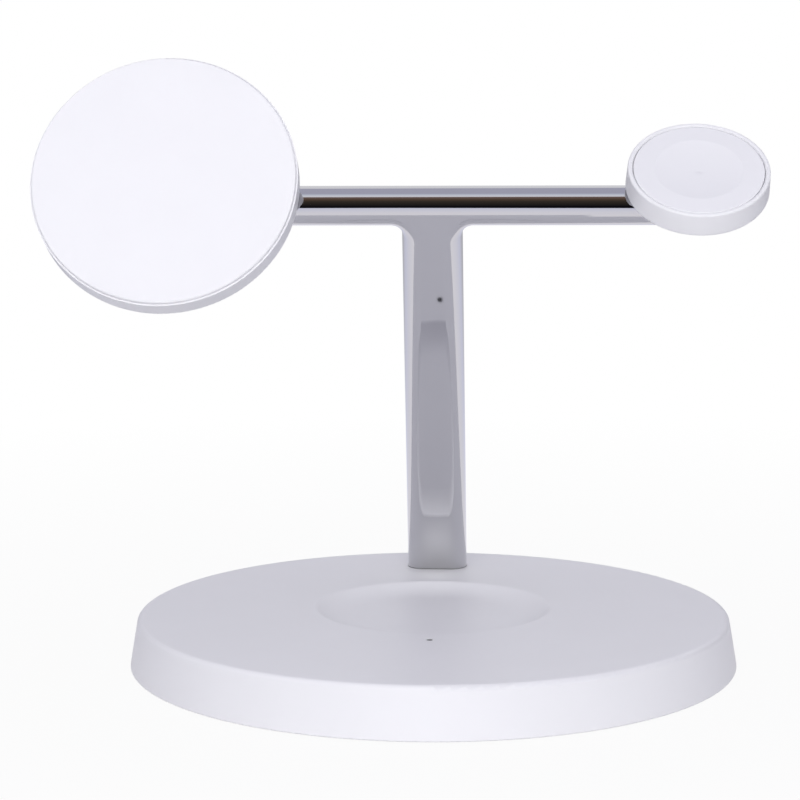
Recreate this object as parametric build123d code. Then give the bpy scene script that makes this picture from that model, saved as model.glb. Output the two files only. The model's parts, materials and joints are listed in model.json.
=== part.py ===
from build123d import *
from math import cos, pi, radians, sin, sqrt, tan
import os

os.makedirs("parts", exist_ok=True)

# Driving dimensions: lengths in millimetres, angles in degrees
# Frame: x to the right, y to the back, z up, origin at the centre of the foot pad on the table

# Base
base_bottom_radius = 66.0
base_taper = 1.8
base_height = 10.8
shell_lift = 0.3
shell_side_wall = 2.4
shell_top_wall = 2.2
shell_top_fillet = 1.2
shell_foot_fillet = 0.3
dish_radius = 25.7
dish_center_y = 4.0
dish_depth = 2.2
dish_floor_wall = 1.4
dish_side_wall = 2.0
dish_sweep_radius = 14.0
dish_rim_round = 1.5
light_distance = 6.0
light_radius = 0.6
light_recess = 0.05
boss_radius = 2.8
boss_wall_distance = 0.8
boss_count = 4
pad_thickness = 1.0
pad_margin = 0.6
pad_groove_inset = 5.0
pad_groove_width = 1.2
pad_groove_depth = 0.3
plate_thickness = 2.0
ballast_boss_distance = 1.8
ballast_dish_distance = 1.5
ballast_gate_margin = 2.0
ballast_headroom = 3.0
ballast_corner_radius = 1.3
pedestal_inset = 2.5
pedestal_wall = 3.0
earbud_coil_inset = 3.0
earbud_coil_bore = 9.0
earbud_coil_thickness = 0.8
earbud_ferrite_thickness = 0.8
ferrite_margin = 1.0
screw_radius = 1.0
screw_head_radius = 2.0
screw_head_height = 1.1
screw_length = 6.0

# Circuit board and power inlet
board_width = 40.0
board_depth = 24.0
board_inlet_distance = 2.0
board_tab_width = 12.0
board_tab_length = 6.5
board_thickness = 1.2
board_post_height = 1.0
board_post_radius = 1.8
board_post_inset = 3.0
inlet_width = 8.9
inlet_height = 3.2
inlet_depth = 7.3
inlet_wall = 0.3
inlet_recess = 0.4
tongue_width = 6.7
tongue_thickness = 0.7
tongue_length = 4.6
tongue_block_depth = 1.4
chip_size = 5.0
chip_height = 0.9
choke_radius = 2.4
choke_height = 1.5
lead_plug_width = 7.4
lead_plug_depth = 3.4
lead_plug_height = 0.7
light_board_width = 14.0
light_board_depth = 9.0
light_board_thickness = 0.8
lamp_size = 1.6
lamp_height = 0.6
pipe_flange_radius = 1.5

# Stand
column_margin = 16.24
column_lean = 30.5
bar_axis_height = 99.25
bar_radius = 4.1
bar_half_length = 62.0
column_top_width = 12.9
column_foot_width = 14.1
armpit_radius = 2.4
seam_land = 0.2
stand_wall = 1.5
flange_width = 30.0
flange_depth = 13.0
flange_thickness = 1.6
flange_corner_radius = 3.0
plug_length = 14.0
plug_wall = 1.0
column_screw_spacing = 22.0
column_screw_length = 3.0
lead_radius = 0.7
lead_spacing = 4.6
lead_turn_radius = 5.0
lead_end_radius = 1.9

# Phone disc
bar_end_margin = 6.4
phone_tilt = 24.9
phone_raise = 1.1
phone_radius = 28.0
phone_back = 6.0
phone_side_height = 5.3
phone_wall = 1.7
phone_floor = 1.4
phone_back_fillet = 0.8
phone_lip_width = 0.35
phone_pad_proud = 1.0
phone_pad_fillet = 0.4
phone_skirt = 1.0
phone_board_inset = 2.7
phone_board_thickness = 0.8
phone_ferrite_inset = 0.7
phone_ferrite_thickness = 0.6
phone_coil_inset = 1.2
phone_coil_bore = 9.5
magnet_count = 16
magnet_width = 3.4
magnet_slit = 0.4
magnet_opening_angle = 24.0
phone_neck_length = 12.0
neck_width = 7.0
neck_root_share = 0.6
spigot_radius = 2.0
spigot_bore = 1.25
spigot_reach = 0.4

# Watch disc
watch_tilt = 50.25
watch_radius = 14.75
watch_flare = 0.25
watch_back = 4.7
watch_side_height = 5.45
watch_floor = 1.2
watch_rim_wall = 1.05
watch_rim_round = 0.45
watch_back_fillet = 0.6
watch_neck_length = 9.0
watch_face_thickness = 1.4
watch_face_drop = 0.15
watch_face_fillet = 0.25
watch_ledge = 1.0
watch_hollow_radius = 9.2
watch_hollow_depth = 0.7
watch_board_thickness = 0.7
watch_ferrite_thickness = 0.6
watch_coil_bore = 5.5
watch_magnet_radius = 4.0

# Clearances
fit_gap = 0.2
hole_gap = 0.1
stack_gap = 0.1
seat_gap = 0.12
column_gap = 0.08

# Levels in the base, worked out from the sizes above
ceiling = base_height - shell_top_wall
dish_underside = base_height - dish_depth - dish_floor_wall
plate_top = pad_thickness + plate_thickness
ballast_top = ceiling - ballast_headroom
board_underside = plate_top + board_post_height
board_top = board_underside + board_thickness
coil_underside = dish_underside - earbud_coil_thickness
ferrite_underside = coil_underside - earbud_ferrite_thickness
flange_underside = ceiling - flange_thickness
inlet_axis_height = board_top + inlet_height / 2
base_top_radius = base_bottom_radius - base_taper
taper_per_height = base_taper / (base_height - shell_lift)
light_y = dish_center_y - dish_radius - light_distance
earbud_coil_radius = dish_radius - earbud_coil_inset
earbud_ferrite_radius = earbud_coil_radius + ferrite_margin
pedestal_outer_radius = earbud_ferrite_radius - pedestal_inset
ballast_inner_radius = dish_radius + dish_center_y + ballast_dish_distance

# Planes of the stand and of the two discs
lean = radians(column_lean)
column_direction = Vector(0, -sin(lean), cos(lean))
foot_run = (bar_axis_height - base_height) / cos(lean)
bar_axis_y = base_top_radius - column_margin - foot_run * sin(lean)
disc_reach = bar_half_length - bar_end_margin
stand_plane = Plane(
    origin=(0, bar_axis_y, bar_axis_height),
    x_dir=(1, 0, 0),
    z_dir=(0, -cos(lean), -sin(lean)),
)


def disc_plane(side, tilt):
    """Plane on the bar's axis whose z direction is the way a charging disc faces."""
    angle = radians(tilt)
    return Plane(
        origin=(side * disc_reach, bar_axis_y, bar_axis_height),
        x_dir=(1, 0, 0),
        z_dir=(0, -cos(angle), sin(angle)),
    )


phone_plane = disc_plane(-1, phone_tilt)
watch_plane = disc_plane(1, watch_tilt)
phone_lip = phone_back + phone_side_height
phone_inside = phone_back + phone_floor
phone_bore = phone_radius - phone_wall
phone_magnet_radius = phone_bore - fit_gap
phone_inner_radius = phone_magnet_radius - magnet_width
phone_pad_underside = phone_lip - phone_skirt
phone_board_top = phone_inside + phone_board_thickness
phone_ferrite_top = phone_board_top + phone_ferrite_thickness
phone_coil_top = phone_pad_underside - stack_gap
phone_center = phone_plane * Pos(0, phone_raise, 0)
watch_rim = watch_back + watch_side_height
watch_inside = watch_back + watch_floor
watch_bore = watch_radius - watch_rim_wall
watch_face_radius = watch_bore - fit_gap / 2
watch_face_top = watch_rim - watch_face_drop
watch_face_underside = watch_face_top - watch_face_thickness
watch_inner_radius = watch_bore - watch_ledge
watch_board_top = watch_inside + watch_board_thickness
watch_ferrite_top = watch_board_top + watch_ferrite_thickness
watch_coil_top = watch_face_underside - stack_gap

UPWARD = (Align.CENTER, Align.CENTER, Align.MIN)
NEAR = 0.0001


# Building blocks

def disc(radius, low, high):
    """Round plate between two levels."""
    return Pos(0, 0, low) * Cylinder(radius, high - low, align=UPWARD)


def ring(outer, inner, low, high):
    """Flat ring between two levels."""
    return disc(outer, low, high) - disc(inner, low - 1, high + 1)


def block(width, depth, low, high):
    """Rectangular plate between two levels."""
    return Pos(0, 0, low) * Box(width, depth, high - low, align=UPWARD)


def turned(*points):
    """Solid turned about the z axis from a closed outline of radius and height."""
    outline = make_face(Plane.XZ * Polyline(*points, close=True))
    return revolve(outline, Axis.Z)


def edges_at(part, height):
    """Edges of a part that lie at one level."""
    return part.edges().filter_by_position(Axis.Z, height - NEAR, height + NEAR)


def circle_at(part, height, radius):
    """Round edges of a part at one level and of one radius, about the z axis."""
    found = edges_at(part, height).filter_by(GeomType.CIRCLE)
    return [edge for edge in found if abs(edge.radius - radius) < NEAR]


def column_y(height):
    """Distance to the back of the column's axis at a height."""
    return bar_axis_y + (bar_axis_height - height) * tan(lean)


def column_plane(height):
    """Plane across the column, where its axis passes a height."""
    return Plane(
        origin=(0, column_y(height), height),
        x_dir=(1, 0, 0),
        z_dir=column_direction,
    )


def shell_inner_radius(height):
    """Inside radius of the tapered shell wall at a height."""
    return base_bottom_radius - shell_side_wall - taper_per_height * (height - shell_lift)


# Base

def base_shell():
    """Moulded shell with dish, bosses, column opening, light hole and inlet slot."""
    shell = turned(
        (0, shell_lift),
        (base_bottom_radius, shell_lift),
        (base_top_radius, base_height),
        (0, base_height),
    )
    shell = fillet(circle_at(shell, base_height, base_top_radius), shell_top_fillet)
    shell = fillet(circle_at(shell, shell_lift, base_bottom_radius), shell_foot_fillet)
    shell -= turned(
        (0, shell_lift - 1),
        (shell_inner_radius(shell_lift - 1), shell_lift - 1),
        (shell_inner_radius(ceiling), ceiling),
        (0, ceiling),
    )
    dish_place = Pos(0, dish_center_y, 0)
    shell += dish_place * disc(dish_radius + dish_side_wall, dish_underside, ceiling)
    shell -= dish_place * earbud_bowl()
    shell = fillet(circle_at(shell, base_height, dish_radius), dish_rim_round)
    boss = disc(boss_radius, plate_top, ceiling)
    shell += [place * boss for place in boss_places()]
    pilot = disc(screw_radius + hole_gap / 2, 0, pad_thickness + screw_length + fit_gap)
    shell -= [place * pilot for place in boss_places()]
    shell -= column_opening()
    column_pilot = disc(screw_radius + hole_gap / 2, ceiling - 1, column_screw_top() + hole_gap)
    shell -= [place * column_pilot for place in column_screw_places()]
    shell -= Pos(0, light_y, 0) * disc(light_radius + hole_gap, ceiling - 1, base_height + 1)
    return shell - inlet_slot()


def earbud_bowl():
    """Shallow bowl with a flat floor and a sweeping side, as the body to cut away."""
    floor = base_height - dish_depth
    flat_radius = dish_radius - sqrt(dish_depth * (2 * dish_sweep_radius - dish_depth))
    outline = Polyline((dish_radius, base_height), (0, base_height), (0, floor), (flat_radius, floor))
    outline += TangentArc((flat_radius, floor), (dish_radius, base_height), tangent=(1, 0))
    return revolve(make_face(Plane.XZ * outline), Axis.Z)


def boss_circle_radius():
    """Radius of the circle of screw bosses, a little inside the shell wall."""
    return shell_inner_radius(ceiling) - boss_wall_distance - boss_radius


def boss_places():
    """Places of the screw bosses, on the diagonals of the base."""
    return PolarLocations(boss_circle_radius(), boss_count, start_angle=180 / boss_count)


def column_opening():
    """Leaning bar of the column's rounded section, with a gap all round, through the base top."""
    section = RectangleRounded(
        column_foot_width + 2 * column_gap,
        2 * (bar_radius + column_gap),
        bar_radius - seam_land + column_gap,
    )
    return column_plane(base_height) * extrude(section, amount=3 * shell_top_wall, both=True)


def inlet_slot():
    """Slot in the rear wall that the power inlet shows through."""
    return inlet_body(
        inlet_width + 2 * fit_gap,
        inlet_height + 2 * fit_gap,
        -2 * shell_side_wall,
        inlet_depth,
    )


def plate_radius():
    """Radius of the bottom plate, just inside the shell wall."""
    return shell_inner_radius(plate_top) - fit_gap


def base_plate():
    """Bottom plate with coil pedestal, board posts and countersunk holes."""
    plate = disc(plate_radius(), pad_thickness, plate_top)
    pedestal_bore = pedestal_outer_radius - pedestal_wall
    pedestal = ring(pedestal_outer_radius, pedestal_bore, plate_top, ferrite_underside)
    plate += Pos(0, dish_center_y, 0) * pedestal
    plate += [place * disc(board_post_radius, plate_top, board_underside) for place in board_post_places()]
    hole = disc(screw_radius + fit_gap, 0, plate_top + 1)
    hole += screw_head(pad_thickness, fit_gap)
    return plate - [place * hole for place in boss_places()]


def screw_head(level, gap):
    """Countersunk head, flush with the underside of a plate at a level."""
    head = Cone(screw_head_radius + gap, screw_radius, screw_head_height + gap, align=UPWARD)
    return Pos(0, 0, level) * head


def foot_pad():
    """Silicone pad under the whole plate, with a groove near its edge."""
    radius = plate_radius() - pad_margin
    pad = disc(radius, 0, pad_thickness)
    pad = fillet(edges_at(pad, 0), pad_thickness / 3)
    groove = radius - pad_groove_inset
    return pad - ring(groove, groove - pad_groove_width, -1, pad_groove_depth)


def base_screws():
    """Countersunk screws from the plate into the shell bosses."""
    screw = screw_head(pad_thickness, 0) + disc(screw_radius, pad_thickness, pad_thickness + screw_length)
    return Compound([place * screw for place in boss_places()])


def ballast():
    """Open steel ring that leaves the rear free for the circuit board."""
    outer = boss_circle_radius() - boss_radius - ballast_boss_distance
    weight = ring(outer, ballast_inner_radius, plate_top, ballast_top)
    gate = block(board_width + 2 * ballast_gate_margin, 2 * outer, plate_top - 1, ballast_top + 1)
    weight -= Pos(0, ballast_inner_radius / 2 + outer, 0) * gate
    upright = weight.edges().filter_by(Axis.Z)
    return fillet(upright, ballast_corner_radius)


def earbud_coil():
    """Flat winding under the dish."""
    coil = ring(earbud_coil_radius, earbud_coil_bore, coil_underside, dish_underside)
    return Pos(0, dish_center_y, 0) * coil


def earbud_ferrite():
    """Shield under the winding, on the pedestal."""
    shield = disc(earbud_ferrite_radius, ferrite_underside, coil_underside)
    return Pos(0, dish_center_y, 0) * shield


# Circuit board, inlet and light

def board_rear_y():
    """Rear edge of the circuit board, a little in front of the inlet."""
    return inlet_mouth_y() - inlet_depth - board_inlet_distance


def board_post_places():
    """Places of the posts under the corners of the circuit board."""
    center = Pos(0, board_rear_y() - board_depth / 2, 0)
    grid = GridLocations(board_width - 2 * board_post_inset, board_depth - 2 * board_post_inset, 2, 2)
    return [center * place for place in grid]


def main_board():
    """Circuit board with a tab that carries the inlet."""
    board = block(board_width, board_depth, board_underside, board_top)
    tab = block(board_tab_width, 2 * board_tab_length, board_underside, board_top)
    return Pos(0, board_rear_y() - board_depth / 2, 0) * board + Pos(0, board_rear_y(), 0) * tab


def board_parts():
    """Chips, chokes and the plug of the two leads, standing on the board."""
    row_y = board_rear_y() - board_depth + chip_size
    step = board_width / 4
    chip = block(chip_size, chip_size, board_top, board_top + chip_height)
    choke = disc(choke_radius, board_top, board_top + choke_height)
    kinds = (choke, chip, chip, choke)
    row = GridLocations(step, step, len(kinds), 1)
    pieces = [Pos(0, row_y, 0) * place * kind for place, kind in zip(row, kinds)]
    plug = block(lead_plug_width, lead_plug_depth, board_top, board_top + lead_plug_height)
    pieces.append(Pos(0, column_y(lead_end_height()), 0) * plug)
    return Compound(pieces)


def inlet_mouth_y():
    """Depth of the inlet's mouth, just inside the outer wall."""
    outer = shell_inner_radius(inlet_axis_height) + shell_side_wall
    return sqrt(outer ** 2 - (inlet_width / 2) ** 2) - inlet_recess


def inlet_body(width, height, near, far):
    """Flat round-ended bar between two distances from the inlet's mouth."""
    plane = Plane(
        origin=(0, inlet_mouth_y() - near, inlet_axis_height),
        x_dir=(1, 0, 0),
        z_dir=(0, -1, 0),
    )
    return plane * extrude(SlotOverall(width, height), amount=far - near)


def inlet_shell():
    """Drawn steel shell of the power inlet, open at its mouth."""
    outer = inlet_body(inlet_width, inlet_height, 0, inlet_depth)
    room = inlet_body(
        inlet_width - 2 * inlet_wall,
        inlet_height - 2 * inlet_wall,
        -1,
        inlet_depth - inlet_wall,
    )
    return outer - room


def inlet_tongue():
    """Contact tongue on its block at the closed end of the inlet."""
    block_end = inlet_depth - inlet_wall
    block_start = block_end - tongue_block_depth
    room_width = inlet_width - 2 * inlet_wall - hole_gap
    room_height = inlet_height - 2 * inlet_wall - hole_gap
    carrier = inlet_body(room_width, room_height, block_start, block_end)
    tongue = Box(tongue_width, tongue_length, tongue_thickness)
    middle_y = inlet_mouth_y() - block_start + tongue_length / 2
    return carrier + Pos(0, middle_y, inlet_axis_height) * tongue


def light_board():
    """Small board on the ballast with the lamp under the light pipe."""
    board = block(light_board_width, light_board_depth, ballast_top, ballast_top + light_board_thickness)
    lamp_low = ballast_top + light_board_thickness
    lamp = block(lamp_size, lamp_size, lamp_low, lamp_low + lamp_height)
    return Pos(0, light_y - light_board_depth / 2 + lamp_size, 0) * board + Pos(0, light_y, 0) * lamp


def light_pipe():
    """Clear pin that ends just under the top face, with a flange below."""
    lamp_top = ballast_top + light_board_thickness + lamp_height
    pipe = disc(pipe_flange_radius, lamp_top + stack_gap, ceiling)
    pipe += disc(light_radius, ceiling, base_height - light_recess)
    return Pos(0, light_y, 0) * pipe


# Stand

def column_width(run, wall):
    """Width of the tapered column at a distance below the bar's axis."""
    growth = (column_foot_width - column_top_width) * run / foot_run
    return column_top_width + growth - 2 * wall


def t_half(wall):
    """Front half of the T as a solid in the stand's plane, set in by a wall thickness."""
    radius = bar_radius - wall
    reach = bar_half_length - wall
    end_run = (bar_axis_height - ceiling) / cos(lean) + 2 * bar_radius
    top_half_width = column_width(radius, wall) / 2
    end_half_width = column_width(end_run, wall) / 2
    outline = Polyline(
        (-reach, radius),
        (-reach, -radius),
        (-top_half_width, -radius),
        (-end_half_width, -end_run),
        (end_half_width, -end_run),
        (top_half_width, -radius),
        (reach, -radius),
        (reach, radius),
        close=True,
    )
    face = make_face(outline)
    armpits = [v for v in face.vertices() if abs(abs(v.X) - top_half_width) < NEAR]
    face = fillet(armpits, armpit_radius + wall)
    ends = [v for v in face.vertices() if abs(abs(v.X) - reach) < NEAR]
    face = fillet(ends, radius - seam_land / 2)
    half = extrude(face, amount=radius)
    front = [e for e in edges_at(half, radius) if e.center().Y > -end_run + NEAR]
    return fillet(front, radius - seam_land)


def stand_half(behind):
    """One hollow half of the stand, trimmed level inside the base, with its spigot holes."""
    half = t_half(0) - t_half(stand_wall)
    if behind:
        half = mirror(half, about=Plane.XY)
    half = stand_plane * half
    below = block(4 * column_foot_width, 8 * bar_radius, ceiling - base_height, ceiling)
    half -= Pos(0, column_y(ceiling), 0) * below
    hole = disc(spigot_radius + hole_gap, 0, 2 * bar_radius)
    return half - [phone_plane * hole, watch_plane * hole]


def column_screw_places():
    """Places of the screws of the column foot, left and right of the column."""
    return [Pos(side * column_screw_spacing / 2, column_y(ceiling), 0) for side in (-1, 1)]


def column_screw_top():
    """Level of the tips of the column foot's screws."""
    return flange_underside + column_screw_length


def column_foot():
    """Steel flange under the base top, with a hollow plug up into the column."""
    inner_width = column_foot_width - 2 * stand_wall
    inner_half = bar_radius - stand_wall
    plug = column_plug(inner_width - 2 * fit_gap, inner_half - fit_gap)
    channel = column_plug(inner_width - 2 * (fit_gap + plug_wall), inner_half - fit_gap - plug_wall)
    outline = RectangleRounded(flange_width, flange_depth, flange_corner_radius)
    plate = extrude(outline, amount=flange_thickness)
    below = block(2 * flange_width, 4 * flange_depth, -base_height, ceiling)
    foot = plug - Pos(0, column_y(ceiling), 0) * below
    foot += Pos(0, column_y(ceiling), flange_underside) * plate
    foot -= channel
    hole = disc(screw_radius + hole_gap, flange_underside - 1, ceiling + 1)
    hole += screw_head(flange_underside, hole_gap)
    return foot - [place * hole for place in column_screw_places()]


def column_plug(width, half_depth):
    """Leaning rounded bar that follows the hollow of the column."""
    section = RectangleRounded(width, 2 * half_depth, half_depth - seam_land)
    return column_plane(ceiling) * extrude(section, amount=plug_length, both=True)


def column_screws():
    """Countersunk screws of the column foot."""
    screw = screw_head(flange_underside, 0) + disc(screw_radius, flange_underside, column_screw_top())
    return Compound([place * screw for place in column_screw_places()])


def lead_end_height():
    """Height where the leads stop, just over their plug on the board."""
    return board_top + lead_plug_height + stack_gap + lead_radius * sin(lean)


def lead(side, plane, end_distance):
    """Lead from the board up the column, along the bar and into a disc."""
    lowest = -(bar_axis_height - lead_end_height()) / cos(lean)
    turn_x = side * lead_spacing / 2
    route = [
        stand_plane.from_local_coords((turn_x, lowest, 0)),
        stand_plane.from_local_coords((turn_x, 0, 0)),
        plane.origin,
        plane.from_local_coords((0, 0, end_distance)),
    ]
    path = FilletPolyline(*route, radius=[lead_turn_radius, lead_end_radius])
    start = Plane(origin=path @ 0, z_dir=path % 0)
    return sweep(start * Circle(lead_radius), path=path)


# Discs

def neck(length, back):
    """Saddle between the bar and the back of a disc, in the disc's own frame."""
    saddle = extrude(SlotOverall(length, neck_width), amount=back)
    return saddle - Rot(0, 90, 0) * Cylinder(bar_radius + seat_gap, 2 * length)


def necked(cup, length, back, inside):
    """Cup with its neck blended in, a spigot into the bar and the bore for the lead."""
    body = cup + neck(length, back)
    root = [edge for edge in edges_at(body, back) if edge.bounding_box().size.X <= length]
    body = fillet(root, neck_root_share * (back - bar_radius - seat_gap))
    body += disc(spigot_radius, bar_radius - stand_wall - spigot_reach, back)
    return body - disc(spigot_bore, 0, inside + 1)


def phone_housing():
    """Cup of the phone disc."""
    cup = turned(
        (0, phone_back),
        (phone_radius, phone_back),
        (phone_radius, phone_lip),
        (phone_bore, phone_lip),
        (phone_bore, phone_inside),
        (0, phone_inside),
    )
    cup = fillet(circle_at(cup, phone_back, phone_radius), phone_back_fillet)
    cup = Pos(0, phone_raise, 0) * cup
    return phone_plane * necked(cup, phone_neck_length, phone_back, phone_inside)


def phone_pad():
    """Charging face that stands proud of the cup, with a skirt inside the lip."""
    radius = phone_radius - phone_lip_width
    top = phone_lip + phone_pad_proud
    pad = disc(radius, phone_lip, top)
    pad = fillet(circle_at(pad, top, radius), phone_pad_fillet)
    pad += disc(phone_magnet_radius, phone_pad_underside, phone_lip)
    return phone_center * pad


def phone_magnets():
    """Open ring of arc magnets on the floor of the cup."""
    arc = (360 - magnet_opening_angle) / magnet_count
    slit_angle = 180 * magnet_slit / (pi * phone_magnet_radius)
    section = Polyline(
        (phone_inner_radius, phone_inside),
        (phone_magnet_radius, phone_inside),
        (phone_magnet_radius, phone_coil_top),
        (phone_inner_radius, phone_coil_top),
        close=True,
    )
    magnet = revolve(make_face(Plane.XZ * section), Axis.Z, revolution_arc=arc - slit_angle)
    first = -90 + magnet_opening_angle / 2
    return Compound([phone_center * Rot(0, 0, first + arc * i) * magnet for i in range(magnet_count)])


def phone_board():
    """Round circuit board on the floor of the phone cup."""
    return phone_center * disc(phone_inner_radius - phone_board_inset, phone_inside, phone_board_top)


def phone_ferrite():
    """Shield between the board and the winding."""
    radius = phone_inner_radius - phone_ferrite_inset
    return phone_center * disc(radius, phone_board_top, phone_ferrite_top)


def phone_coil():
    """Flat winding under the charging face."""
    outer = phone_inner_radius - phone_coil_inset
    return phone_center * ring(outer, phone_coil_bore, phone_ferrite_top, phone_coil_top)


def watch_housing():
    """Cup of the watch disc with a rounded rim and a ledge for the face."""
    back_radius = watch_radius + watch_flare
    cup = turned(
        (0, watch_back),
        (back_radius, watch_back),
        (watch_radius, watch_rim),
        (watch_bore, watch_rim),
        (watch_bore, watch_face_underside),
        (watch_inner_radius, watch_face_underside),
        (watch_inner_radius, watch_inside),
        (0, watch_inside),
    )
    cup = fillet(circle_at(cup, watch_back, back_radius), watch_back_fillet)
    rim_edges = circle_at(cup, watch_rim, watch_radius) + circle_at(cup, watch_rim, watch_bore)
    cup = fillet(rim_edges, watch_rim_round)
    return watch_plane * necked(cup, watch_neck_length, watch_back, watch_inside)


def watch_face():
    """Charging face with a shallow round hollow."""
    face = disc(watch_face_radius, watch_face_underside, watch_face_top)
    face = fillet(circle_at(face, watch_face_top, watch_face_radius), watch_face_fillet)
    ball = (watch_hollow_radius ** 2 + watch_hollow_depth ** 2) / (2 * watch_hollow_depth)
    face -= Pos(0, 0, watch_face_top - watch_hollow_depth + ball) * Sphere(ball)
    return watch_plane * face


def watch_board():
    """Round circuit board on the floor of the watch cup."""
    return watch_plane * disc(watch_inner_radius - fit_gap, watch_inside, watch_board_top)


def watch_ferrite():
    """Shield between the board and the winding."""
    radius = watch_inner_radius - 2 * fit_gap
    return watch_plane * disc(radius, watch_board_top, watch_ferrite_top)


def watch_coil():
    """Flat winding round the magnet."""
    outer = watch_inner_radius - 4 * fit_gap
    return watch_plane * ring(outer, watch_coil_bore, watch_ferrite_top, watch_coil_top)


def watch_magnet():
    """Round magnet in the middle of the winding."""
    return watch_plane * disc(watch_magnet_radius, watch_ferrite_top, watch_coil_top)


pieces = {
    "base_shell": base_shell(),
    "base_plate": base_plate(),
    "foot_pad": foot_pad(),
    "base_screws": base_screws(),
    "ballast": ballast(),
    "earbud_coil": earbud_coil(),
    "earbud_ferrite": earbud_ferrite(),
    "main_board": main_board(),
    "board_parts": board_parts(),
    "inlet_shell": inlet_shell(),
    "inlet_tongue": inlet_tongue(),
    "light_board": light_board(),
    "light_pipe": light_pipe(),
    "stand_front": stand_half(behind=False),
    "stand_rear": stand_half(behind=True),
    "column_foot": column_foot(),
    "column_screws": column_screws(),
    "phone_lead": lead(-1, phone_plane, phone_inside - stack_gap),
    "watch_lead": lead(1, watch_plane, watch_inside - stack_gap),
    "phone_housing": phone_housing(),
    "phone_pad": phone_pad(),
    "phone_magnets": phone_magnets(),
    "phone_board": phone_board(),
    "phone_ferrite": phone_ferrite(),
    "phone_coil": phone_coil(),
    "watch_housing": watch_housing(),
    "watch_face": watch_face(),
    "watch_board": watch_board(),
    "watch_ferrite": watch_ferrite(),
    "watch_coil": watch_coil(),
    "watch_magnet": watch_magnet(),
}

for name, piece in pieces.items():
    export_step(piece, f"parts/{name}.step")
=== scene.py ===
import json
from math import cos, pi, radians, sin

import bpy
from mathutils import Matrix, Vector


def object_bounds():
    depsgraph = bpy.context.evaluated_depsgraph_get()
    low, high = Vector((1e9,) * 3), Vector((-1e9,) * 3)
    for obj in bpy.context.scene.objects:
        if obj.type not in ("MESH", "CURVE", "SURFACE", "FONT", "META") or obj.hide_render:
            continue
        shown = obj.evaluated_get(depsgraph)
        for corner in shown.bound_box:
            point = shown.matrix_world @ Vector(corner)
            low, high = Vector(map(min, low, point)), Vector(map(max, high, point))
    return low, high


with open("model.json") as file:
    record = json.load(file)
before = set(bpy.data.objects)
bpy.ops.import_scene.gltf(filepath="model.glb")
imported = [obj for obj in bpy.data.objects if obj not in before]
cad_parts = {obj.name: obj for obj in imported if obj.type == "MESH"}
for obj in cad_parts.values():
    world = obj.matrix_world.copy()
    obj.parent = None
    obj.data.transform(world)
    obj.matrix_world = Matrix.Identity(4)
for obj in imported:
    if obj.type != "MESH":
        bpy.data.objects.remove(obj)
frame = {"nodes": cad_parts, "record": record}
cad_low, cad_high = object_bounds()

MM = 0.001

# Camera, as the photograph was taken
CAMERA_PLACE = Vector((10.8, -451.1, 114.4)) * MM
CAMERA_TURN = radians(2.27)
CAMERA_PITCH = radians(7.23)
CAMERA_ROLL = radians(-0.165)
SENSOR_WIDTH = 36.0
FOCAL_LENGTH = 94.5

# Studio
FLOOR_REACH = 3.0
FLOOR_WHITE = 0.7
FLOOR_SHOWN = [(0.0, 0.92), (0.14, 0.95), (0.4, 1.0)]
# Painted reflection: tone of the table in polished metal, by distance from the object
FLOOR_MIRRORED = [
    (0.07, (0.98, 0.96, 1.0)),
    (0.24, (0.80, 0.81, 0.96)),
    (0.5, (0.62, 0.62, 0.68)),
    (1.0, (0.5, 0.5, 0.54)),
]
# Painted reflection: sky that only polished metal shows, lighter upwards
SKY_MIRRORED_LOW = (0.5, 0.5, 0.54, 1)
SKY_MIRRORED_HIGH = (0.87, 0.87, 0.9, 1)
SKY_MIRRORED_RISE = 2.0
# Painted reflection: a glowing dark card in front, brown at the top, seen only in polished metal
DARK_DISTANCE = 0.295
DARK_WIDTH = 2.0
DARK_HEIGHT = 0.50
DARK_REFLECTION_TONES = [
    (0.0, (0.0, 0.0, 0.002)),
    (0.1, (0.002, 0.002, 0.006)),
    (0.2, (0.016, 0.014, 0.014)),
    (0.47, (0.045, 0.035, 0.028)),
    (0.63, (0.10, 0.065, 0.045)),
    (0.85, (0.19, 0.13, 0.11)),
]
# Painted reflection: a glowing grey card overhead, seen only in polished metal
OVERHEAD_HEIGHT = 1.0
OVERHEAD_WIDTH = 2.0
OVERHEAD_FRONT = -0.65
OVERHEAD_REAR = 0.60
OVERHEAD_REFLECTION_TONES = [
    (0.1, (0.84, 0.84, 0.90)),
    (0.23, (0.70, 0.74, 0.85)),
    (0.39, (0.49, 0.49, 0.60)),
]
KEY_DISTANCE = 0.8
KEY_ELEVATION = radians(18.0)
KEY_SIZE = 0.7
KEY_POWER = 4.0
FILL_ELEVATION = radians(5.0)
FILL_SIZE = 0.25
FILL_POWER = 0.8
BOUNCE_PLACE = Vector((0, 36, 19)) * MM
BOUNCE_AIM = Vector((0, 42, 10.8)) * MM
BOUNCE_SIZE = 8 * MM
BOUNCE_POWER = 0.00022
SKY_LOW = (0.365, 0.36, 0.40, 1)
SKY_HIGH = (0.525, 0.517, 0.60, 1)
WHITE = (1, 1, 1, 1)
BLACK_OUT = (0, 0, 0, 1)

# Finishes: colours in linear values
WHITE_PLASTIC = (0.88, 0.88, 0.895)
WHITE_SOFT = (0.90, 0.90, 0.915)
WHITE_GLOSS = (0.88, 0.88, 0.90)
CHROME = (0.64, 0.64, 0.655)
STEEL = (0.50, 0.50, 0.50)
NICKEL = (0.58, 0.57, 0.55)
COPPER = (0.62, 0.28, 0.13)
FERRITE = (0.025, 0.025, 0.028)
BOARD_GREEN = (0.012, 0.09, 0.045)
BLACK = (0.012, 0.012, 0.013)
GREY_PLASTIC = (0.45, 0.45, 0.47)
SILICONE = (0.50, 0.50, 0.52)
JACKET = (0.62, 0.62, 0.64)
PIPE_DARK = (0.006, 0.006, 0.008)

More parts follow.
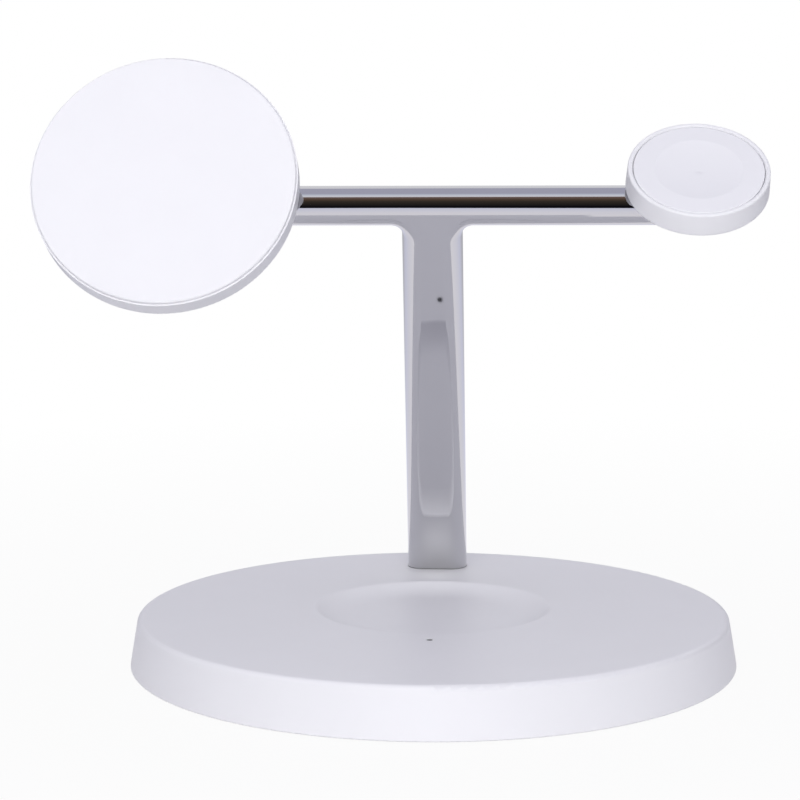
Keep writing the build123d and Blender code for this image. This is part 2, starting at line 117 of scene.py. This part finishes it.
# Finishes: values of their fine detail
MOTTLE_SIZE = 14 * MM
POLISH_LINE_SIZE = 0.35 * MM
POLISH_LINE_DEPTH = 0.1 * MM
POLISH_HAZE_SIZE = 9 * MM
WIRE_PITCH = 0.5 * MM
WIRE_DEPTH = 0.1 * MM
WIRE_HAZE_SIZE = 4 * MM
# Scale at which a wave texture repeats once in a unit of length
WAVE_TURNS = 0.314
TRACK_SIZE = 6 * MM
TRACK_SHARE = 0.04
TRACK_DEPTH = 0.05 * MM
BOARD_CLOUD_SIZE = 5 * MM
PIPE_CLOUD_SIZE = 0.6 * MM


class Wire:
    """A shader socket that takes part in Python expressions."""

    def __init__(self, tree, socket):
        self.tree = tree
        self.socket = socket

    def node(self, kind, settings, sockets, output=0):
        """Add any node: its settings first, then the values or links of its sockets."""
        made = self.tree.nodes.new(kind)
        for key, value in settings.items():
            if key == "stops":
                set_stops(made.color_ramp, value)
            else:
                setattr(made, key, value)
        for key, value in sockets.items():
            target = made.inputs[key]
            if isinstance(value, Wire):
                self.tree.links.new(value.socket, target)
            else:
                target.default_value = value
        return Wire(self.tree, made.outputs[output])

    def math(self, operation, first, second):
        return self.node("ShaderNodeMath", {"operation": operation}, {0: first, 1: second})

    def __add__(self, other):
        return self.math("ADD", self, other)

    def __radd__(self, other):
        return self.math("ADD", other, self)

    def __sub__(self, other):
        return self.math("SUBTRACT", self, other)

    def __rsub__(self, other):
        return self.math("SUBTRACT", other, self)

    def __mul__(self, other):
        return self.math("MULTIPLY", self, other)

    def __rmul__(self, other):
        return self.math("MULTIPLY", other, self)


def set_stops(ramp, stops):
    """Give a colour ramp its stops, each a position and a colour."""
    while len(ramp.elements) < len(stops):
        ramp.elements.new(0.5)
    for element, (position, color) in zip(ramp.elements, stops):
        element.position = position
        element.color = (*color, 1.0)


def shades(color, spread):
    """Ramp stops from a darker to a lighter version of a colour."""
    darker = [share * (1 - spread) for share in color]
    lighter = [min(1.0, share * (1 + spread)) for share in color]
    return [(0.0, darker), (1.0, lighter)]


class Finish:
    """A procedural material on Object coordinates."""

    def __init__(self, name, **fixed):
        self.material = bpy.data.materials.new(name)
        self.material.use_nodes = True
        self.tree = self.material.node_tree
        self.shader = self.tree.nodes["Principled BSDF"]
        for key, value in fixed.items():
            self.shader.inputs[key.replace("_", " ")].default_value = value
        place = self.tree.nodes.new("ShaderNodeTexCoord")
        self.place = Wire(self.tree, place.outputs["Object"])

    def feed(self, **wires):
        """Link varying values to the shader."""
        for key, wire in wires.items():
            self.tree.links.new(wire.socket, self.shader.inputs[key.replace("_", " ")])

    def noise(self, size, detail=2.0, roughness=0.5, stretch=(1, 1, 1)):
        """Noise whose features are about one size across, in metres."""
        place = self.place.node("ShaderNodeMapping", {}, {"Vector": self.place, "Scale": stretch})
        sockets = {"Vector": place, "Scale": 1 / size, "Detail": detail, "Roughness": roughness}
        return self.place.node("ShaderNodeTexNoise", {}, sockets)

    def tint(self, value, color, spread):
        """Colour that wanders a little about its mean."""
        ramp = {"stops": shades(color, spread)}
        return self.place.node("ShaderNodeValToRGB", ramp, {"Fac": value})

    def bump(self, height, depth, strength=1.0):
        """Relief of a height value, up to a depth in metres."""
        sockets = {"Height": height, "Distance": depth, "Strength": strength}
        return self.place.node("ShaderNodeBump", {}, sockets)


def moulded(name, color, grain, depth, rough, spread=0.02, **fixed):
    """Moulded plastic or rubber: fine spark grain, faint mottling and uneven gloss."""
    finish = Finish(name, **fixed)
    fine = finish.noise(grain, detail=3.0)
    cloud = finish.noise(MOTTLE_SIZE, detail=2.0)
    finish.feed(
        Base_Color=finish.tint(cloud * 0.7 + fine * 0.3, color, spread),
        Roughness=rough + (cloud - 0.5) * 0.08 + (fine - 0.5) * 0.06,
        Normal=finish.bump(fine, depth),
    )
    return finish.material


def polished(name, color, rough, streak):
    """Polished or brushed metal: fine lines along the piece and faint handling haze."""
    finish = Finish(name, Metallic=1.0)
    lines = finish.noise(POLISH_LINE_SIZE, detail=2.0, stretch=streak)
    haze = finish.noise(POLISH_HAZE_SIZE, detail=3.0)
    finish.feed(
        Base_Color=finish.tint(haze, color, 0.015),
        Roughness=rough * (0.7 + haze * 0.6) + (lines - 0.5) * (rough * 0.5),
        Normal=finish.bump(lines, POLISH_LINE_DEPTH * rough * rough),
    )
    return finish.material


def winding(name, color, pitch):
    """Lacquered wire: close turns in colour and relief."""
    finish = Finish(name, Metallic=0.8)
    settings = {"wave_type": "RINGS", "rings_direction": "SPHERICAL", "wave_profile": "SIN"}
    sockets = {"Vector": finish.place, "Scale": WAVE_TURNS / pitch}
    turns = finish.place.node("ShaderNodeTexWave", settings, sockets)
    haze = finish.noise(WIRE_HAZE_SIZE)
    finish.feed(
        Base_Color=finish.tint(turns * 0.6 + haze * 0.4, color, 0.25),
        Roughness=0.3 + haze * 0.2,
        Normal=finish.bump(turns, WIRE_DEPTH),
    )
    return finish.material


def circuit(name, color):
    """Lacquered circuit board with a faint pattern of tracks."""
    finish = Finish(name, Coat_Weight=0.4)
    settings = {"offset": 0.5, "squash": 1.0}
    sockets = {
        "Vector": finish.place,
        "Scale": 1 / TRACK_SIZE,
        "Mortar Size": TRACK_SHARE,
        "Color1": BLACK_OUT,
        "Color2": BLACK_OUT,
        "Mortar": WHITE,
    }
    tracks = finish.place.node("ShaderNodeTexBrick", settings, sockets, output=1)
    cloud = finish.noise(BOARD_CLOUD_SIZE)
    finish.feed(
        Base_Color=finish.tint(tracks * 0.7 + cloud * 0.3, color, 0.5),
        Roughness=0.35 + cloud * 0.15,
        Normal=finish.bump(tracks, TRACK_DEPTH),
    )
    return finish.material


def light_window(name, color):
    """Smoked plastic of the light's pin, dark while the light is off."""
    finish = Finish(name, Specular_IOR_Level=0.15)
    cloud = finish.noise(PIPE_CLOUD_SIZE)
    finish.feed(Base_Color=finish.tint(cloud, color, 0.3), Roughness=0.45 + cloud * 0.1)
    return finish.material


def finishes():
    """One material for each slot of the record."""
    return {
        "white_plastic": moulded("white_plastic", WHITE_PLASTIC, 0.22 * MM, 0.006 * MM, 0.42),
        "grey_plastic": moulded("grey_plastic", GREY_PLASTIC, 0.3 * MM, 0.012 * MM, 0.5),
        "grey_silicone": moulded("grey_silicone", SILICONE, 0.3 * MM, 0.02 * MM, 0.75),
        "white_soft_face": moulded("white_soft_face", WHITE_SOFT, 0.3 * MM, 0.008 * MM, 0.55),
        "white_gloss_face": moulded("white_gloss_face", WHITE_GLOSS, 0.5 * MM, 0.002 * MM, 0.2),
        "polished_chrome": polished("polished_chrome", CHROME, 0.04, (1, 0.05, 0.05)),
        "steel": polished("steel", STEEL, 0.3, (0.05, 1, 1)),
        "magnet": polished("magnet", NICKEL, 0.22, (1, 1, 0.1)),
        "copper_winding": winding("copper_winding", COPPER, WIRE_PITCH),
        "ferrite": moulded("ferrite", FERRITE, 0.2 * MM, 0.02 * MM, 0.7, spread=0.2),
        "circuit_board": circuit("circuit_board", BOARD_GREEN),
        "black_plastic": moulded("black_plastic", BLACK, 0.2 * MM, 0.01 * MM, 0.5, spread=0.2),
        "light_pipe": light_window("light_pipe", PIPE_DARK),
        "lead_jacket": moulded("lead_jacket", JACKET, 0.3 * MM, 0.01 * MM, 0.55),
    }


def dress_nodes(materials):
    """Give every CAD node the material of its slot."""
    for subpart in frame["record"]["subparts"]:
        mesh = frame["nodes"][subpart["node"]].data
        mesh.materials.clear()
        mesh.materials.append(materials[subpart["material_slot"]])


# Stage

def flat_card(name, corners):
    """Four-cornered stage card."""
    mesh = bpy.data.meshes.new(name)
    mesh.from_pydata(corners, [], [tuple(range(len(corners)))])
    card = bpy.data.objects.new(name, mesh)
    bpy.context.scene.collection.objects.link(card)
    return card


def seen_directly(tree):
    """Two switches: one for rays that show things, by eye, mirror or glass, and one for mirrors alone."""
    path = tree.nodes.new("ShaderNodeLightPath")
    rays = [Wire(tree, path.outputs[f"Is {kind} Ray"]) for kind in ("Camera", "Glossy", "Transmission")]
    return rays[0] + rays[1] + rays[2], rays[1]


def table_white():
    """White table: shaded near the object, plain white far off; in mirrors a painted reflection that is a
    little darker far off.
    """
    finish = Finish("table_white", Roughness=0.9, Specular_IOR_Level=0.0)
    finish.shader.inputs["Base Color"].default_value = (FLOOR_WHITE, FLOOR_WHITE, FLOOR_WHITE, 1)
    seen, mirrored = seen_directly(finish.tree)
    length = {"operation": "LENGTH"}
    distance = finish.place.node("ShaderNodeVectorMath", length, {0: finish.place}, output="Value")
    grey = [(position, (share, share, share)) for position, share in FLOOR_SHOWN]
    shown = finish.place.node("ShaderNodeValToRGB", {"stops": grey}, {"Fac": distance})
    # painted reflection: the table's tone in mirrors, darker far off
    tone = finish.place.node("ShaderNodeValToRGB", {"stops": FLOOR_MIRRORED}, {"Fac": distance})
    sockets = {0: mirrored, 6: WHITE, 7: tone}
    tone = finish.place.node("ShaderNodeMix", {"data_type": "RGBA"}, sockets, output=2)
    glow = finish.place.node("ShaderNodeEmission", {}, {"Color": tone})
    lit = Wire(finish.tree, finish.shader.outputs[0])
    mixed = finish.place.node("ShaderNodeMixShader", {}, {0: seen * shown, 1: lit, 2: glow})
    finish.tree.links.new(mixed.socket, finish.tree.nodes["Material Output"].inputs["Surface"])
    return finish.material


def make_floor():
    """Plain white table top."""
    r = FLOOR_REACH
    floor = flat_card("floor", [(-r, -r, 0), (r, -r, 0), (r, r, 0), (-r, r, 0)])
    floor.data.materials.append(table_white())


def mirrored_card(name, corners, finish):
    """Card that only shows in polished surfaces."""
    card = flat_card(name, corners)
    card.data.materials.append(finish.material)
    card.visible_camera = False
    card.visible_diffuse = False
    card.visible_shadow = False
    card.visible_transmission = False


def glowing(name, axis, start, end, tones):
    """Glow whose tone runs along one axis, from a start to an end."""
    finish = Finish(name, Base_Color=BLACK_OUT, Emission_Strength=1.0, Specular_IOR_Level=0.0)
    along = finish.place.node("ShaderNodeSeparateXYZ", {}, {0: finish.place}, output=axis)
    share = (along - start) * (1 / (end - start))
    finish.feed(Emission_Color=finish.place.node("ShaderNodeValToRGB", {"stops": tones}, {"Fac": share}))
    return finish


def make_dark_card():
    """Painted reflection: a glowing card in front of the object, dark and brown at the top, that only the
    polished metal shows.
    """
    finish = glowing("dark_reflection_glow", "Z", 0.0, DARK_HEIGHT, DARK_REFLECTION_TONES)
    half = DARK_WIDTH / 2
    y = -DARK_DISTANCE
    corners = [(-half, y, 0), (half, y, 0), (half, y, DARK_HEIGHT), (-half, y, DARK_HEIGHT)]
    mirrored_card("dark_reflection_card", corners, finish)


def make_overhead_card():
    """Painted reflection: a glowing grey card overhead, lighter towards the front, that only the polished
    metal shows.
    """
    finish = glowing("grey_overhead_reflection", "Y", OVERHEAD_FRONT, OVERHEAD_REAR, OVERHEAD_REFLECTION_TONES)
    half = OVERHEAD_WIDTH / 2
    front = [(-half, OVERHEAD_FRONT, OVERHEAD_HEIGHT), (half, OVERHEAD_FRONT, OVERHEAD_HEIGHT)]
    rear = [(half, OVERHEAD_REAR, OVERHEAD_HEIGHT), (-half, OVERHEAD_REAR, OVERHEAD_HEIGHT)]
    mirrored_card("overhead_reflection_card", front + rear, finish)


def make_world():
    """Soft light, stronger from above, with a white backdrop for the camera and a painted reflection, a
    grey sky lighter upwards, that only mirrors show.
    """
    world = bpy.data.worlds.new("studio")
    bpy.context.scene.world = world
    world.use_nodes = True
    tree = world.node_tree
    seen, mirrored = seen_directly(tree)
    place = tree.nodes.new("ShaderNodeTexCoord")
    way = Wire(tree, place.outputs["Generated"])
    height = way.node("ShaderNodeSeparateXYZ", {}, {0: way}, output="Z")

    def plain(color):
        return way.node("ShaderNodeBackground", {}, {"Color": color})

    def mixed(share, low, high):
        return way.node("ShaderNodeMixShader", {}, {0: share, 1: low, 2: high})

    light = mixed(height, plain(SKY_LOW), plain(SKY_HIGH))
    # painted reflection: the sky that mirrors show
    mirror = mixed(height * SKY_MIRRORED_RISE, plain(SKY_MIRRORED_LOW), plain(SKY_MIRRORED_HIGH))
    shown = mixed(mirrored, plain(WHITE), mirror)
    surface = mixed(seen, light, shown)
    tree.links.new(surface.socket, tree.nodes["World Output"].inputs["Surface"])


def soft_lamp(name, size, power, place, aim):
    """Round soft lamp that mirrors and the camera do not show."""
    light = bpy.data.lights.new(name, "AREA")
    light.shape = "DISK"
    light.size = size
    light.energy = power
    lamp = bpy.data.objects.new(name, light)
    bpy.context.scene.collection.objects.link(lamp)
    lamp.location = place
    lamp.rotation_euler = (aim - place).to_track_quat("-Z", "Y").to_euler()
    lamp.visible_glossy = False
    lamp.visible_camera = False


def make_lamps():
    """Broad lamps over the camera and behind, and the light that the polished column throws on the base."""
    middle = (cad_low + cad_high) / 2
    front = Vector((0, -cos(KEY_ELEVATION), sin(KEY_ELEVATION))) * KEY_DISTANCE
    behind = Vector((0, cos(FILL_ELEVATION), sin(FILL_ELEVATION))) * KEY_DISTANCE
    soft_lamp("key", KEY_SIZE, KEY_POWER, middle + front, middle)
    soft_lamp("fill", FILL_SIZE, FILL_POWER, middle + behind, middle)
    soft_lamp("bounce", BOUNCE_SIZE, BOUNCE_POWER, BOUNCE_PLACE, BOUNCE_AIM)


def make_camera():
    """Camera of the photograph."""
    lens = bpy.data.cameras.new("camera")
    lens.sensor_width = SENSOR_WIDTH
    lens.lens = FOCAL_LENGTH
    camera = bpy.data.objects.new("camera", lens)
    bpy.context.scene.collection.objects.link(camera)
    turn = Matrix.Rotation(CAMERA_TURN, 4, "Z")
    pitch = Matrix.Rotation(pi / 2 - CAMERA_PITCH, 4, "X")
    roll = Matrix.Rotation(CAMERA_ROLL, 4, "Z")
    camera.matrix_world = Matrix.Translation(CAMERA_PLACE) @ turn @ pitch @ roll
    bpy.context.scene.camera = camera


dress_nodes(finishes())
make_floor()
make_dark_card()
make_overhead_card()
make_world()
make_lamps()
make_camera()
bpy.context.scene.view_settings.view_transform = "Standard"
